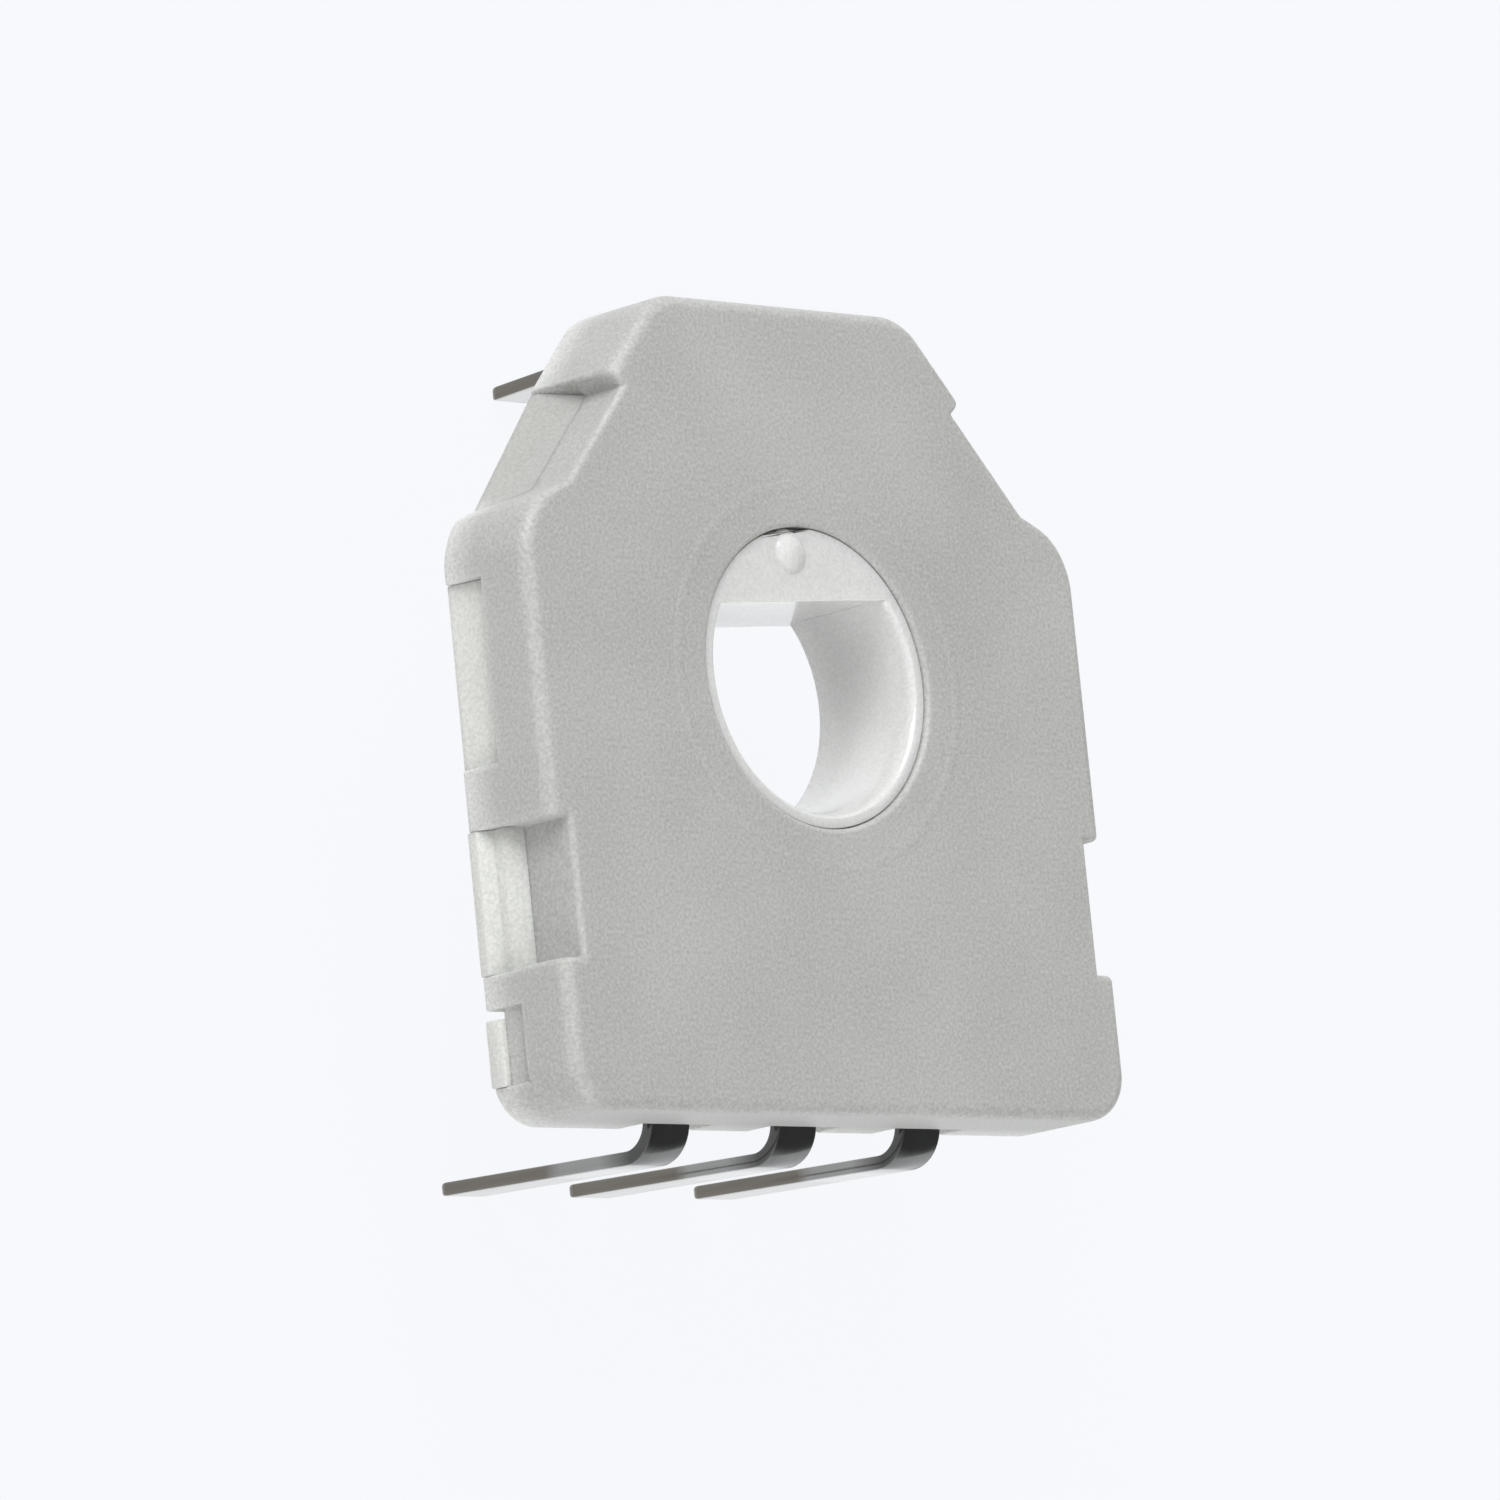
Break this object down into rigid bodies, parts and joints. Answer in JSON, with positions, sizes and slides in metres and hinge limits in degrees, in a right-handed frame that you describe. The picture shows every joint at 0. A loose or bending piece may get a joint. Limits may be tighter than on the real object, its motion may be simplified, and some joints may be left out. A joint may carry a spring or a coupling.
{
  "type": "rotary position sensor",
  "caption": "Flat white board-mount rotary position sensor: moulded house-shaped body with snap windows, endless D-hole rotor for a through shaft, and bent blade pins.",
  "frame": {"origin": "on the rotor axis, at the level of the board that the rear base seats on", "axes": "+Z along the rotor axis from the board to the front face, +Y towards the narrow end with the support pin, terminals on the -Y side"},
  "size_m": [0.011, 0.0122, 0.0059],
  "materials": {
    "housing_plastic": "fine matte mould texture, white",
    "base_plastic": "matte, white",
    "rotor_plastic": "smooth satin, white",
    "wiper_alloy": "bright rolled spring sheet",
    "substrate_laminate": "matte laminate",
    "track_film": "matte printed film",
    "conductor_film": "printed silver film",
    "pin_metal": "dull tin plating, darker towards the tips"
  },
  "bodies": {
    "stator": {"front_housing": "housing_plastic", "rear_base": "base_plastic", "element_substrate": "substrate_laminate", "resistive_track": "track_film", "collector_ring": "conductor_film", "end_terminations": "conductor_film", "terminal_1": "pin_metal", "terminal_2": "pin_metal", "terminal_3": "pin_metal", "support_pin": "pin_metal"},
    "rotor": {"rotor": "rotor_plastic", "wiper": "wiper_alloy"}
  },
  "joints": [
    {"name": "rotor_turn", "type": "hinge", "parent": "stator", "child": "rotor", "pos_m": [0, 0, 0], "axis": [0, 0, 1], "continuous": true}
  ]
}
